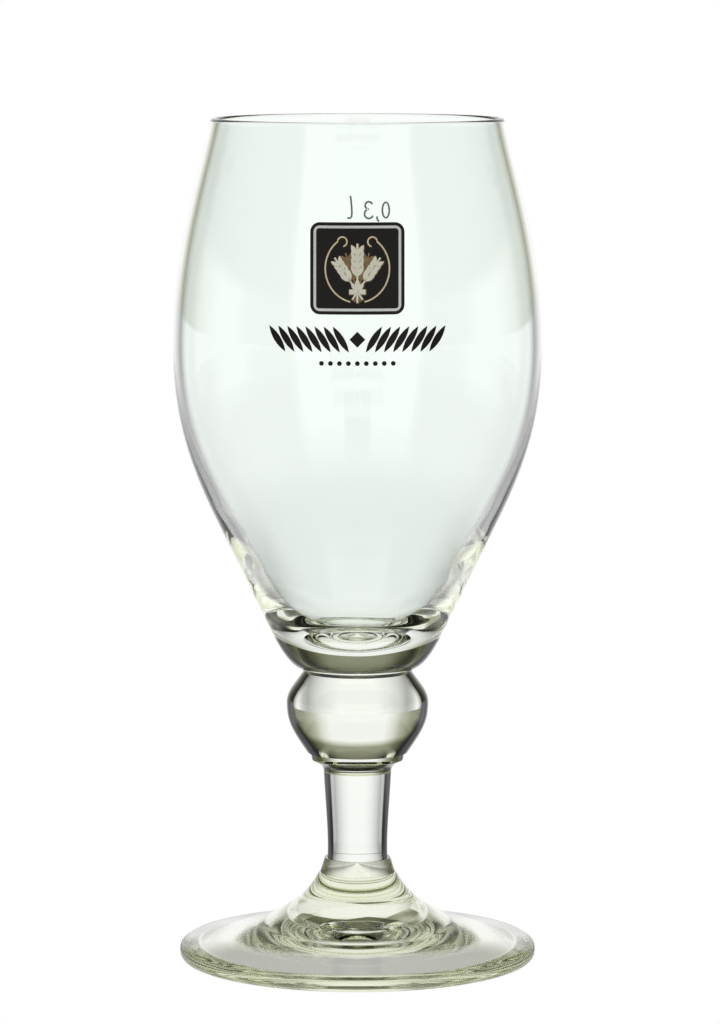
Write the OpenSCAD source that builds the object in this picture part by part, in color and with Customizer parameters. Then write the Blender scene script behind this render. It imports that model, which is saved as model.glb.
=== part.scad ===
// Chalice beer glass: a blown bowl fused to a knopped, pressed stem and a round foot,
// with a fired enamel badge and ornament on its front.
// The origin is the centre of the table face under the foot, +Z is up and the front looks along -Y.

/* [Foot] */
// Diameter of the foot at its widest
foot_d = 78; // [70:0.5:90]
// Height of the rounded edge of the foot
foot_edge_h = 3.7; // [3:0.1:5]
// Height of the foot from the table to its fused seam
foot_h = 19; // [16:0.5:24]
// Diameter of the foot's neck at its seam
foot_neck_d = 16.8; // [15.5:0.1:18.5]
// Width of the flat ring that the foot rests on
rest_ring_w = 3.5; // [2:0.1:5]
// Depth of the broad hollow under the foot
under_depth = 4.6; // [3:0.1:6]
// Diameter of the steeper hollow in its middle
kick_d = 37; // [30:0.5:42]
// Depth of the hollow in the middle, above the broad one
kick_depth = 2.5; // [0.5:0.1:3]

/* [Collar at the foot] */
// Height of the collar between foot and stem
foot_collar_h = 3.2; // [2:0.1:6]
// Diameter of the collar where it meets the foot
foot_collar_low_d = 16.4; // [13:0.1:20]
// Diameter of the collar where it meets the stem
foot_collar_top_d = 14.4; // [12:0.1:17]

/* [Stem] */
// Length of the stem between its two seams
stem_l = 19.1; // [12:0.5:40]
// Diameter of the stem at its lower seam
stem_low_d = 13.2; // [10:0.1:14]
// Diameter of the stem at its upper seam
stem_top_d = 14.8; // [11:0.1:17]

/* [Collar under the knop] */
// Height of the flared collar under the knop
stem_collar_h = 4.3; // [3:0.1:7]
// Diameter of the flared collar at its top
stem_collar_d = 20.6; // [18:0.1:21.5]

/* [Knop] */
// Height of the knop from its lower seam to the waist under the bowl
knop_h = 17.8; // [14:0.1:24]
// Diameter of the knop at its widest
knop_d = 31; // [27:0.5:38]
// Diameter of the knop's underside
knop_foot_d = 22; // [21:0.1:25]
// Height of the knop's widest ring above its lower seam
knop_ring_h = 11; // [8:0.1:12]
// Diameter of the knop's top edge, just under the waist
knop_top_d = 24.8; // [24:0.1:26.5]
// Drop from the waist to the knop's top edge
knop_top_drop = 0.8; // [0.4:0.1:1.4]

/* [Bowl] */
// Height of the bowl from the waist seam to the rim
bowl_h = 120.6; // [105:0.5:140]
// Diameter of the waist where bowl and knop are fused
waist_d = 23.6; // [21:0.1:23.8]
// Diameter of the underside of the bowl's solid base
saucer_d = 24.8; // [24:0.1:28]
// Height of that underside above the waist seam
saucer_h = 0.8; // [0.4:0.1:1.4]
// Diameter at the shoulder where the base turns up into the cone
shoulder_d = 37.5; // [33:0.5:41]
// Height of the shoulder above the waist seam
shoulder_h = 8.8; // [7:0.1:12]
// Diameter at the top of the straight cone
cone_top_d = 62.4; // [58:0.2:66]
// Height of the top of the straight cone above the waist seam
cone_top_h = 34.6; // [30:0.2:39]
// Diameter of the bowl at its widest
belly_d = 80; // [76:0.5:88]
// Height of the widest ring above the waist seam
belly_h = 71.1; // [62:0.5:80]
// Diameter of the bowl at the rim
rim_d = 63.6; // [58:0.2:72]
// Thickness of the wall from the rim down to the widest ring, measured level
wall = 1.5; // [1.1:0.1:2.2]
// Thickness it has grown to, measured level, where the cavity turns in to its floor
lower_wall = 3.9; // [2.6:0.1:5]
// Height of that turn above the waist seam
turn_h = 27; // [24:0.5:30]
// Thickness of the solid base between waist seam and cavity floor
base_t = 7.6; // [6:0.1:12]

/* [Enamel badge] */
// Width of the badge, measured straight across
badge_w = 19.7; // [14:0.1:24]
// Height of the badge
badge_tall = 19.1; // [14:0.1:24]
// Corner radius of the badge
badge_corner_r = 2; // [1.2:0.1:4]
// Drop from the rim to the middle of the badge
badge_drop = 30.1; // [24:0.1:36]
// Distance from the badge's edge in to its border line
border_inset = 0.7; // [0.4:0.1:1]
// Width of the border line
border_w = 0.55; // [0.3:0.05:0.8]
// Distance from the border line in to the top and bottom of the barley sheaf
sheaf_margin = 1.2; // [0.6:0.1:3]

/* [Enamel ornament] */
// Width of the band of grains under the badge
band_w = 38.3; // [30:0.1:44]
// Height of the band of grains
band_tall = 5.4; // [3:0.1:6]
// Gap between the badge and the band
band_gap = 2.5; // [1:0.1:5]
// Width of the row of dots under the band
dots_w = 16; // [10:0.1:22]
// Diameter of one dot
dot_d = 1; // [0.6:0.1:1.4]
// Gap between the band and the row of dots
dots_gap = 1.8; // [0.6:0.1:4]
// Thickness of one printed coat of enamel
enamel_t = 0.1; // [0.06:0.01:0.2]
// Clearance between the glass and the first coat
enamel_clearance = 0.05; // [0.02:0.01:0.08]

/* [Hidden] */
$fn = 128;
curve_steps = 16;
long_curve_steps = 28;
grain_fn = 48;
overrun = 1;

glass_colour = [0.84, 0.92, 0.87];
ground_colour = [0.07, 0.06, 0.06];
silver_colour = [0.72, 0.74, 0.74];
cream_colour = [0.86, 0.82, 0.66];

// The pieces stand on each other, seam on seam.
foot_collar_z = foot_h;
stem_z = foot_collar_z + foot_collar_h;
stem_collar_z = stem_z + stem_l;
knop_z = stem_collar_z + stem_collar_h;
bowl_z = knop_z + knop_h;
glass_h = bowl_z + bowl_h;

// Points of a cubic curve from a to b, without b itself; a_pull and b_pull are its handles.
function curve(a, a_pull, b_pull, b, steps) =
    [for (i = [0 : steps - 1])
        let (t = i / steps, u = 1 - t)
        u * u * u * a + 3 * t * u * u * a_pull + 3 * t * t * u * b_pull + t * t * t * b];

function mix(a, b, share) = a + (b - a) * share;

// A glass piece turned from half of its outline.
module turned(outline) {
    color(glass_colour)
        rotate_extrude()
            polygon(outline);
}

// Foot

foot_r = foot_d / 2;
foot_neck_r = foot_neck_d / 2;
kick_r = kick_d / 2;
// Levels on the rounded edge, as shares of its height: the tread, the widest ring and the upper turn.
edge_level_shares = [0, 0.5, 1];
// How far the tread and the top of the edge lie inside the widest ring, as shares of the edge's height.
tread_in_share = 0.4;
edge_top_in_share = 0.32;
edge_pull_share = 0.26;
// Handles of the long curve from the neck out to the edge, as shares of its radial run and of its rise.
sweep_neck_run_share = 0.14;
sweep_neck_rise_share = 0.54;
sweep_edge_run_share = 0.54;
sweep_edge_rise_share = 0.19;

function foot_edge() =
    let (tread = [foot_r - tread_in_share * foot_edge_h, foot_edge_h * edge_level_shares[0]],
         widest = [foot_r, foot_edge_h * edge_level_shares[1]],
         top = [foot_r - edge_top_in_share * foot_edge_h, foot_edge_h * edge_level_shares[2]],
         pull = edge_pull_share * foot_edge_h)
    concat(curve(tread, tread + [pull, 0], widest - [0, pull], widest, curve_steps),
           curve(widest, widest + [0, pull], top + [pull, -pull / 2], top, curve_steps));

function foot_sweep() =
    let (edge = [foot_r - edge_top_in_share * foot_edge_h, foot_edge_h],
         neck = [foot_neck_r, foot_h],
         run = edge[0] - neck[0],
         rise = neck[1] - edge[1])
    curve(edge,
          edge + [-sweep_edge_run_share * run, sweep_edge_rise_share * rise],
          neck + [sweep_neck_run_share * run, -sweep_neck_rise_share * rise],
          neck,
          long_curve_steps);

under_r = foot_r - tread_in_share * foot_edge_h - rest_ring_w;

// Height at r of a round cap of the given depth, whose edge is edge_r out.
function cap_h(r, edge_r, depth) =
    let (ball_r = (edge_r * edge_r + depth * depth) / (2 * depth))
    sqrt(ball_r * ball_r - r * r) - ball_r + depth;

// The underside: a broad pressed hollow, with a steeper one in its middle.
function foot_hollow() =
    concat([for (i = [0 : curve_steps])
                let (r = kick_r * i / curve_steps)
                [r, cap_h(r, kick_r, kick_depth) + cap_h(kick_r, under_r, under_depth)]],
           [for (i = [1 : curve_steps - 1])
                let (r = mix(kick_r, under_r, i / curve_steps))
                [r, cap_h(r, under_r, under_depth)]],
           [[under_r, 0]]);

module foot() {
    turned(concat(foot_hollow(), foot_edge(), foot_sweep(), [[foot_neck_r, foot_h], [0, foot_h]]));
}

// Collar at the foot

module foot_collar() {
    turned([[0, foot_collar_z],
            [foot_collar_low_d / 2, foot_collar_z],
            [foot_collar_top_d / 2, stem_z],
            [0, stem_z]]);
}

// Stem

// Handles of the stem's waisted side: how far up it each acts, and how far in the lower one draws.
stem_low_pull_share = 0.25;
stem_top_pull_share = 0.36;
stem_waist_share = 0.045;

module stem() {
    low = [stem_low_d / 2, stem_z];
    top = [stem_top_d / 2, stem_collar_z];
    turned(concat([[0, stem_z]],
                  curve(low,
                        low + [-stem_waist_share * low[0], stem_low_pull_share * stem_l],
                        top - [stem_waist_share * top[0], stem_top_pull_share * stem_l],
                        top,
                        curve_steps),
                  [top, [0, stem_collar_z]]));
}

// Collar under the knop

// The level where the flare ends in a short upright lip, and the lip's lean.
lip_level_share = 0.62;
lip_lean_share = 0.03;
flare_pull_share = 0.5;

module stem_collar() {
    low = [stem_top_d / 2, stem_collar_z];
    top = [stem_collar_d / 2, knop_z];
    lip = [top[0] * (1 - lip_lean_share), stem_collar_z + lip_level_share * stem_collar_h];
    flare_h = lip[1] - low[1];
    turned(concat([[0, stem_collar_z]],
                  curve(low,
                        low + [0, flare_pull_share * flare_h],
                        lip - [flare_pull_share * (lip[0] - low[0]), flare_pull_share * flare_h / 2],
                        lip,
                        curve_steps),
                  [lip, top, [0, knop_z]]));
}

// Knop

// Handles of the knop's side, as shares of the radial and upright runs between its rings.
knop_foot_run_share = 0.78;
knop_foot_rise_share = 0.46;
knop_ring_low_share = 0.37;
knop_ring_top_share = 0.4;
knop_top_run_share = 0.38;
knop_top_rise_share = 0.3;

module knop() {
    foot_point = [knop_foot_d / 2, knop_z];
    ring = [knop_d / 2, knop_z + knop_ring_h];
    top = [knop_top_d / 2, bowl_z - knop_top_drop];
    low_run = [ring[0] - foot_point[0], ring[1] - foot_point[1]];
    top_run = [ring[0] - top[0], top[1] - ring[1]];
    turned(concat([[0, knop_z]],
                  curve(foot_point,
                        foot_point + [knop_foot_run_share * low_run[0], knop_foot_rise_share * low_run[1]],
                        ring - [0, knop_ring_low_share * low_run[1]],
                        ring,
                        curve_steps),
                  curve(ring,
                        ring + [0, knop_ring_top_share * top_run[1]],
                        top + [knop_top_run_share * top_run[0], -knop_top_rise_share * top_run[1]],
                        top,
                        curve_steps),
                  [top, [waist_d / 2, bowl_z], [0, bowl_z]]));
}

// Bowl

rim_r = rim_d / 2;
belly_r = belly_d / 2;
waist_r = waist_d / 2;
shoulder = [shoulder_d / 2, bowl_z + shoulder_h];
cone_top = [cone_top_d / 2, bowl_z + cone_top_h];
belly = [belly_r, bowl_z + belly_h];
rim_side = [rim_r, glass_h - wall / 2];

// Handles of the outer side, as shares of the height between its rings.
saucer_out_share = 0.42;
saucer_up_share = 0.11;
saucer_turn_share = 0.38;
cone_pull_share = 0.315;
belly_low_pull_share = 0.4;
belly_top_pull_share = 0.438;
rim_pull_share = 0.214;
// Radius that the outer side gains at the rim for each length of drop.
rim_lean_share = 0.19;

cone_lean = (cone_top[0] - shoulder[0]) / (cone_top[1] - shoulder[1]);

function bowl_base_side() =
    let (under = [saucer_d / 2, bowl_z + saucer_h],
         run = [shoulder[0] - under[0], shoulder[1] - under[1]],
         turn = saucer_turn_share * run[1])
    concat([[waist_r, bowl_z]],
           curve(under,
                 under + [saucer_out_share * run[0], saucer_up_share * run[1]],
                 shoulder - [cone_lean * turn, turn],
                 shoulder,
                 curve_steps),
           [shoulder]);

// The side from the top of the straight cone up to where the rim starts to round over.
function bowl_upper_side() =
    let (low_h = belly[1] - cone_top[1],
         top_h = rim_side[1] - belly[1],
         cone_pull = cone_pull_share * low_h,
         rim_pull = rim_pull_share * top_h)
    concat(curve(cone_top,
                 cone_top + [cone_lean * cone_pull, cone_pull],
                 belly - [0, belly_low_pull_share * low_h],
                 belly,
                 long_curve_steps),
           curve(belly,
                 belly + [0, belly_top_pull_share * top_h],
                 rim_side + [rim_lean_share * rim_pull, -rim_pull],
                 rim_side,
                 long_curve_steps),
           [rim_side]);

function rim_round() =
    [for (i = [1 : curve_steps - 1])
        let (angle = 180 * i / curve_steps)
        [rim_r - wall / 2 + wall / 2 * cos(angle), glass_h - wall / 2 + wall / 2 * sin(angle)]];

// Handles of the curve from the turn to the floor, as shares of its height and of its radius.
cavity_low_pull_share = 0.52;
cavity_floor_pull_share = 0.6;
// How fast the wall thickens below the widest ring: 1 is evenly, 2 is slowly at first.
wall_growth_power = 2;

// The cone's side in short steps, for the cavity to follow.
function cone_side() =
    [for (i = [0 : curve_steps - 1]) mix(shoulder, cone_top, i / curve_steps)];

function wall_at(z, turn_z) =
    let (down_share = max(0, (belly[1] - z) / (belly[1] - turn_z)))
    mix(wall, lower_wall, pow(down_share, wall_growth_power));

// From the rim down to the turn the cavity follows the outer side, one wall thickness in.
function cavity_side() =
    let (outer = concat(cone_side(), bowl_upper_side()),
         turn_z = bowl_z + turn_h,
         outer_r_here = lookup(turn_z, [for (p = outer) [p[1], p[0]]]),
         turn = [outer_r_here - lower_wall, turn_z],
         floor_mid = [0, bowl_z + base_t],
         floor_h = turn[1] - floor_mid[1],
         wall_gain = wall_growth_power * (lower_wall - wall) / (belly[1] - turn_z),
         low_pull = cavity_low_pull_share * floor_h)
    concat([for (i = [len(outer) - 1 : -1 : 0])
                let (p = outer[i])
                if (p[1] > turn_z) p - [wall_at(p[1], turn_z), 0]],
           curve(turn,
                 turn - [(cone_lean + wall_gain) * low_pull, low_pull],
                 floor_mid + [cavity_floor_pull_share * turn[0], 0],
                 floor_mid,
                 curve_steps),
           [floor_mid]);

module bowl() {
    turned(concat([[0, bowl_z]], bowl_base_side(), bowl_upper_side(), rim_round(), cavity_side()));
}

// Enamel prints

// One coat of enamel on the bowl's outer side, cut to the flat outline given as children.
// level is the height of the outline's middle, and coat counts the coats from the glass out.
module printed(level, coat) {
    side = bowl_upper_side();
    inner_gap = enamel_clearance + (coat - 1) * enamel_t;
    outer_gap = enamel_clearance + coat * enamel_t;
    inner = [for (p = side) p + [inner_gap, 0]];
    outer = [for (i = [len(side) - 1 : -1 : 0]) side[i] + [outer_gap, 0]];
    intersection() {
        rotate_extrude()
            polygon(concat(inner, outer));
        translate([0, 0, level])
            rotate([90, 0, 0])
                linear_extrude(height = belly_r + overrun)
                    children();
    }
}

module rounded_plate(w, tall, corner_r) {
    square([w - 2 * corner_r, tall], center = true);
    square([w, tall - 2 * corner_r], center = true);
    for (x = [-1, 1], y = [-1, 1])
        translate([x * (w / 2 - corner_r), y * (tall / 2 - corner_r)])
            circle(r = corner_r, $fn = grain_fn);
}

// A pointed grain, standing up from the origin: what two circles share.
module grain(l, w) {
    r = (l * l + w * w) / (4 * w);
    translate([0, l / 2])
        intersection() {
            translate([r - w / 2, 0])
                circle(r = r, $fn = grain_fn * 2);
            translate([w / 2 - r, 0])
                circle(r = r, $fn = grain_fn * 2);
        }
}

badge_z = glass_h - badge_drop;
band_z = badge_z - badge_tall / 2 - band_gap - band_tall / 2;
dots_z = band_z - band_tall / 2 - dots_gap - dot_d / 2;
sheaf_tall = badge_tall - 2 * (border_inset + border_w + sheaf_margin);

module badge_ground() {
    color(ground_colour)
        printed(badge_z, 1)
            rounded_plate(badge_w, badge_tall, badge_corner_r);
}

module badge_border() {
    outer_w = badge_w - 2 * border_inset;
    outer_tall = badge_tall - 2 * border_inset;
    color(silver_colour)
        printed(badge_z, 2)
            difference() {
                rounded_plate(outer_w, outer_tall, badge_corner_r - border_inset);
                rounded_plate(outer_w - 2 * border_w, outer_tall - 2 * border_w,
                              (badge_corner_r - border_inset) / 2);
            }
}

// The sheaf: three ears of barley that spring from one tie.
ear_turns = [-34, 0, 34];
ear_tall_shares = [0.82, 0.96, 0.82];
grain_pairs = 4;
// Shares of one ear's height: where its grains start, their length and width, and the stalk's width.
ear_start_share = 0.4;
grain_l_share = 0.2;
grain_w_share = 0.075;
stalk_w_share = 0.028;
// Degrees that a grain leans out from its stalk.
grain_lean = 27;
// The tie's width and height, as shares of the sheaf's height.
tie_w_share = 0.24;
tie_tall_share = 0.07;
tie_level_share = 0.16;

module ear(tall) {
    translate([-stalk_w_share * tall / 2, 0])
        square([stalk_w_share * tall, tall * (1 - grain_l_share / 2)]);
    translate([0, tall * (1 - grain_l_share)])
        grain(grain_l_share * tall, grain_w_share * tall);
    for (i = [0 : grain_pairs - 1], side = [-1, 1])
        translate([0, mix(ear_start_share, 1 - grain_l_share, i / grain_pairs) * tall])
            rotate(-side * grain_lean)
                grain(grain_l_share * tall, grain_w_share * tall);
}

module badge_sheaf() {
    color(cream_colour)
        printed(badge_z, 2)
            translate([0, -sheaf_tall / 2]) {
                for (i = [0 : len(ear_turns) - 1])
                    translate([0, tie_level_share * sheaf_tall])
                        rotate(ear_turns[i])
                            translate([0, -tie_level_share * sheaf_tall])
                                ear(ear_tall_shares[i] * sheaf_tall);
                translate([0, tie_level_share * sheaf_tall])
                    square([tie_w_share, tie_tall_share] * sheaf_tall, center = true);
            }
}

// The band: grains that lean away from a lozenge in the middle.
band_grains_a_side = 8;
band_lean = 32;
band_grain_w_share = 0.26;
band_lozenge_share = 0.62;
band_middle_share = 0.09;

module grain_band() {
    grain_l = band_tall / cos(band_lean);
    reach = band_w / 2 - band_tall * tan(band_lean) / 2 - band_grain_w_share * band_tall / 2;
    color(ground_colour)
        printed(band_z, 1) {
            rotate(45)
                square(band_lozenge_share * band_tall / sqrt(2), center = true);
            for (i = [0 : band_grains_a_side - 1], side = [-1, 1])
                translate([side * mix(band_middle_share * band_w, reach, i / (band_grains_a_side - 1)), 0])
                    rotate(-side * band_lean)
                        translate([0, -grain_l / 2])
                            grain(grain_l, band_grain_w_share * band_tall);
        }
}

dot_count = 9;

module dot_row() {
    color(ground_colour)
        printed(dots_z, 1)
            for (i = [0 : dot_count - 1])
                translate([mix(dot_d / 2 - dots_w / 2, dots_w / 2 - dot_d / 2, i / (dot_count - 1)), 0])
                    circle(d = dot_d, $fn = grain_fn);
}

foot();
foot_collar();
stem();
stem_collar();
knop();
bowl();
badge_ground();
badge_border();
badge_sheaf();
grain_band();
dot_row();
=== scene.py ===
"""Looks of a chalice beer glass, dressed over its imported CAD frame.

Six pieces of clear glass are fused one on another: foot, foot collar, stem, stem collar,
knop and bowl. Fired enamel prints sit on the bowl. The front looks along -Y.
"""
import math

import bmesh
import bpy
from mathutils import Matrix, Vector
from mathutils.geometry import delaunay_2d_cdt


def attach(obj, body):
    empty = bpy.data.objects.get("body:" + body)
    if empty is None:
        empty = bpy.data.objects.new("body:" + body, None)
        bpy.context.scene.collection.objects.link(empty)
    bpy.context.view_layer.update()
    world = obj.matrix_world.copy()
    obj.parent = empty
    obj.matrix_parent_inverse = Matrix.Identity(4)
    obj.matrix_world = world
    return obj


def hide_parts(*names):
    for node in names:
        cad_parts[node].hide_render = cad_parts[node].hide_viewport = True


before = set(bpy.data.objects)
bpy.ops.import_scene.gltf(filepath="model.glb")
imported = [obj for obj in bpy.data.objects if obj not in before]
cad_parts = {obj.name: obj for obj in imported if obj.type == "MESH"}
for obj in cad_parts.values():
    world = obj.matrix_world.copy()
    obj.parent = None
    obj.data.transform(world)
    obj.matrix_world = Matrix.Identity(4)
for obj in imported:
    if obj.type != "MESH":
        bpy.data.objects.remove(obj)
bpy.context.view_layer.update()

MM = 0.001

# Sizes, in millimetres. They repeat the values of the part's source.

FOOT_D, FOOT_EDGE_H, FOOT_H, FOOT_NECK_D = 78.0, 3.7, 19.0, 16.8
UNDER_D, UNDER_DEPTH = 68.04, 4.6
KICK_D, KICK_DEPTH = 37.0, 2.5
FOOT_COLLAR_H, FOOT_COLLAR_LOW_D, FOOT_COLLAR_TOP_D = 3.2, 16.4, 14.4
STEM_L, STEM_LOW_D, STEM_TOP_D = 19.1, 13.2, 14.8
STEM_COLLAR_H, STEM_COLLAR_D = 4.3, 20.6
KNOP_H, KNOP_D, KNOP_FOOT_D, KNOP_RING_H, KNOP_TOP_D, KNOP_TOP_DROP = 17.8, 31.0, 22.0, 11.0, 24.8, 0.8
BOWL_H, WAIST_D, SAUCER_D, SAUCER_H = 120.6, 23.6, 24.8, 0.8
SHOULDER_D, SHOULDER_H, CONE_TOP_D, CONE_TOP_H = 37.5, 8.8, 62.4, 34.6
BELLY_D, BELLY_H, RIM_D, WALL, LOWER_WALL = 80.0, 71.1, 63.6, 1.5, 3.9
TURN_H, BASE_T = 27.0, 7.6

BADGE_W, BADGE_TALL, BADGE_CORNER_R, BADGE_DROP = 19.7, 19.1, 2.0, 30.1
BORDER_INSET, BORDER_W, SHEAF_MARGIN = 0.7, 0.55, 1.2
BAND_W, BAND_TALL, BAND_GAP = 38.3, 5.4, 2.5
DOTS_W, DOT_D, DOTS_GAP = 16.0, 1.0, 1.8

STEM_Z = FOOT_H + FOOT_COLLAR_H
STEM_COLLAR_Z = STEM_Z + STEM_L
KNOP_Z = STEM_COLLAR_Z + STEM_COLLAR_H
BOWL_Z = KNOP_Z + KNOP_H
GLASS_H = BOWL_Z + BOWL_H
BADGE_Z = GLASS_H - BADGE_DROP
BAND_Z = BADGE_Z - BADGE_TALL / 2 - BAND_GAP - BAND_TALL / 2
DOTS_Z = BAND_Z - BAND_TALL / 2 - DOTS_GAP - DOT_D / 2

LATHE_FACETS = 240
WAVES_TOP, WAVES_FADE, WAVES_PER_M, WAVES_DEEP = 104.0, 18.0, 60.0, 0.25
FACETS_R, FACETS_PER_M, FACETS_DEEP = 13.0, 110.0, 0.7


# Outlines of the turned glass

def P(r, z):
    return Vector((r, z))


def curve(a, a_pull, b_pull, b, steps):
    """Points of a cubic curve from a to b, without b itself."""
    points = []
    for i in range(steps):
        t = i / steps
        u = 1 - t
        points.append(u * u * u * a + 3 * t * u * u * a_pull + 3 * t * t * u * b_pull + t * t * t * b)
    return points


def straight(a, b, steps):
    return [a.lerp(b, i / steps) for i in range(steps)]


def disc(r, z, outwards):
    """A level seam face from the axis out to r, or back in to the axis."""
    points = [P(0, z), P(r / 2, z), P(r, z)]
    return points if outwards else points[::-1]


def foot_outline():
    kick_r, under_r = KICK_D / 2, UNDER_D / 2

    def cap(r, edge_r, depth):
        """Height at r of a round cap that is depth deep and edge_r out to its edge."""
        ball_r = (edge_r ** 2 + depth ** 2) / (2 * depth)
        return math.sqrt(ball_r ** 2 - r ** 2) - ball_r + depth

    hollow = []
    for i in range(31):
        r = kick_r * i / 30
        hollow.append(P(r, cap(r, kick_r, KICK_DEPTH) + cap(kick_r, under_r, UNDER_DEPTH)))
    for i in range(1, 31):
        r = kick_r + (under_r - kick_r) * i / 30
        hollow.append(P(r, cap(r, under_r, UNDER_DEPTH)))
    r = FOOT_D / 2
    tread = P(r - 0.4 * FOOT_EDGE_H, 0)
    widest = P(r, FOOT_EDGE_H / 2)
    top = P(r - 0.32 * FOOT_EDGE_H, FOOT_EDGE_H)
    pull = 0.26 * FOOT_EDGE_H
    edge = curve(tread, tread + P(pull, 0), widest - P(0, pull), widest, 12)
    edge += curve(widest, widest + P(0, pull), top + P(pull, -pull / 2), top, 12)
    neck = P(FOOT_NECK_D / 2, FOOT_H)
    run, rise = top.x - neck.x, neck.y - top.y
    sweep = curve(top, top + P(-0.54 * run, 0.19 * rise), neck + P(0.14 * run, -0.54 * rise), neck, 60)
    return hollow + straight(hollow[-1], tread, 6)[1:] + edge + sweep + [neck] + \
        disc(FOOT_COLLAR_LOW_D / 2, FOOT_H, False)


def foot_collar_outline():
    low, top = P(FOOT_COLLAR_LOW_D / 2, FOOT_H), P(FOOT_COLLAR_TOP_D / 2, STEM_Z)
    ledge = P(STEM_LOW_D / 2, STEM_Z)
    return disc(low.x, FOOT_H, True) + straight(low, top, 8)[1:] + straight(top, ledge, 3)[:-1] + \
        disc(ledge.x, STEM_Z, False)


def stem_outline():
    low, top = P(STEM_LOW_D / 2, STEM_Z), P(STEM_TOP_D / 2, STEM_COLLAR_Z)
    side = curve(low, low + P(-0.045 * low.x, 0.25 * STEM_L), top - P(0.045 * top.x, 0.36 * STEM_L), top, 40)
    return disc(low.x, STEM_Z, True) + side[1:] + disc(top.x, STEM_COLLAR_Z, False)


def stem_collar_outline():
    low, top = P(STEM_TOP_D / 2, STEM_COLLAR_Z), P(STEM_COLLAR_D / 2, KNOP_Z)
    lip = P(top.x * 0.97, STEM_COLLAR_Z + 0.62 * STEM_COLLAR_H)
    flare_h = lip.y - low.y
    flare = curve(low, low + P(0, 0.5 * flare_h), lip - P(0.5 * (lip.x - low.x), 0.25 * flare_h), lip, 24)
    return disc(low.x, STEM_COLLAR_Z, True) + flare[1:] + straight(lip, top, 5) + disc(top.x, KNOP_Z, False)


def knop_outline():
    foot_point = P(KNOP_FOOT_D / 2, KNOP_Z)
    ring = P(KNOP_D / 2, KNOP_Z + KNOP_RING_H)
    top = P(KNOP_TOP_D / 2, BOWL_Z - KNOP_TOP_DROP)
    waist = P(WAIST_D / 2, BOWL_Z)
    low_run, top_run = ring - foot_point, P(ring.x - top.x, top.y - ring.y)
    side = curve(foot_point, foot_point + P(0.78 * low_run.x, 0.46 * low_run.y),
                 ring - P(0, 0.37 * low_run.y), ring, 40)
    side += curve(ring, ring + P(0, 0.4 * top_run.y), top + P(0.38 * top_run.x, -0.3 * top_run.y), top, 30)
    return disc(STEM_COLLAR_D / 2, KNOP_Z, True) + side + straight(top, waist, 4) + disc(waist.x, BOWL_Z, False)


def bowl_outline():
    waist = P(WAIST_D / 2, BOWL_Z)
    under = P(SAUCER_D / 2, BOWL_Z + SAUCER_H)
    shoulder = P(SHOULDER_D / 2, BOWL_Z + SHOULDER_H)
    cone_top = P(CONE_TOP_D / 2, BOWL_Z + CONE_TOP_H)
    belly = P(BELLY_D / 2, BOWL_Z + BELLY_H)
    rim_side = P(RIM_D / 2, GLASS_H - WALL / 2)
    cone_lean = (cone_top.x - shoulder.x) / (cone_top.y - shoulder.y)

    run = shoulder - under
    turn = 0.38 * run.y
    base = straight(waist, under, 4) + curve(under, under + P(0.42 * run.x, 0.11 * run.y),
                                             shoulder - P(cone_lean * turn, turn), shoulder, 30)
    cone = straight(shoulder, cone_top, 24)
    low_h, top_h = belly.y - cone_top.y, rim_side.y - belly.y
    pull, rim_pull = 0.315 * low_h, 0.214 * top_h
    upper = curve(cone_top, cone_top + P(cone_lean * pull, pull), belly - P(0, 0.4 * low_h), belly, 40)
    upper += curve(belly, belly + P(0, 0.438 * top_h), rim_side + P(0.19 * rim_pull, -rim_pull), rim_side, 44)
    rim = [P(rim_side.x - WALL / 2 + WALL / 2 * math.cos(math.pi * i / 14),
             rim_side.y + WALL / 2 * math.sin(math.pi * i / 14)) for i in range(14)]

    # The cavity follows the outer side from the rim down to the turn, then runs to its floor.
    turn_z = BOWL_Z + TURN_H

    def wall_at(z):
        down = max(0, (belly.y - z) / (belly.y - turn_z))
        return WALL + (LOWER_WALL - WALL) * down ** 2

    outer = [p for p in cone + upper + [rim_side] if p.y > turn_z][::-1]
    turn_point = P(shoulder.x + cone_lean * (turn_z - shoulder.y) - LOWER_WALL, turn_z)
    floor_mid = P(0, BOWL_Z + BASE_T)
    gain = 2 * (LOWER_WALL - WALL) / (belly.y - turn_z)
    pull = 0.52 * (turn_point.y - floor_mid.y)
    cavity = [p - P(wall_at(p.y), 0) for p in outer]
    cavity += curve(turn_point, turn_point - P((cone_lean + gain) * pull, pull),
                    floor_mid + P(0.6 * turn_point.x, 0), floor_mid, 40)
    outside = disc(waist.x, BOWL_Z, True)[:-1] + base + cone + upper + rim
    whole = outside + cavity + [floor_mid]
    return whole, range(len(outside), len(whole))


# Geometry Nodes

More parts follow.
